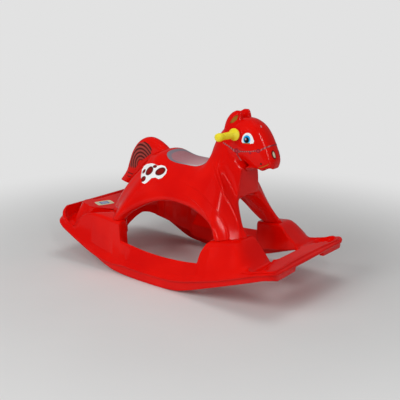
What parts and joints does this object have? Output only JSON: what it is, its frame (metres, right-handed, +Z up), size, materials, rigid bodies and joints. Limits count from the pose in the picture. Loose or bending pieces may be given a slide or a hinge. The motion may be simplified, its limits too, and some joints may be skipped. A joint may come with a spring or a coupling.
{
  "type": "rocking horse",
  "caption": "Moulded plastic rocking horse for a small child: hollow horse body screwed to a curved one-piece rocker base, with push-in head grips and printed film decals.",
  "frame": {"origin": "centre of the base's outline in plan, on the floor under the runners", "axes": "+X towards the horse's nose, +Y to the rider's left, +Z up"},
  "size_m": [0.881, 0.428, 0.533],
  "materials": {
    "red_plastic": "glossy blow-moulded polyethylene",
    "yellow_plastic": "satin moulded polyethylene",
    "zinc_steel": "zinc plated",
    "eye_print": "printed film, white with a blue iris and black pupil",
    "patch_print": "printed film, white with maroon spots",
    "ochre_print": "printed film",
    "tail_print": "printed film with fine hair strands",
    "bridle_print": "printed film, a chain of small links",
    "brown_print": "printed film",
    "cream_print": "printed film",
    "saddle_print": "printed film with a grey border",
    "label_print": null
  },
  "bodies": {
    "root": {"rocker_base": "red_plastic", "horse_body": "red_plastic", "handle_right": "yellow_plastic", "handle_left": "yellow_plastic", "leg_screw_fr": "zinc_steel", "leg_screw_fl": "zinc_steel", "leg_screw_rr": "zinc_steel", "leg_screw_rl": "zinc_steel", "washer_fr": "zinc_steel", "washer_fl": "zinc_steel", "washer_rr": "zinc_steel", "washer_rl": "zinc_steel", "eye_film_right": "eye_print", "eye_film_left": "eye_print", "haunch_patch_right": "patch_print", "haunch_patch_left": "patch_print", "ear_film_right": "ochre_print", "ear_film_left": "ochre_print", "tail_film_right": "tail_print", "tail_film_left": "tail_print", "bridle_film_right": "bridle_print", "bridle_film_left": "bridle_print", "strap_film_right": "bridle_print", "strap_film_left": "bridle_print", "mouth_film_right": "ochre_print", "mouth_film_left": "ochre_print", "cheek_dot_right": "brown_print", "cheek_dot_left": "brown_print", "nostril_film_right": "cream_print", "nostril_film_left": "cream_print", "saddle_film": "saddle_print", "forehead_dot": "cream_print", "rear_label": "label_print"}
  },
  "joints": []
}
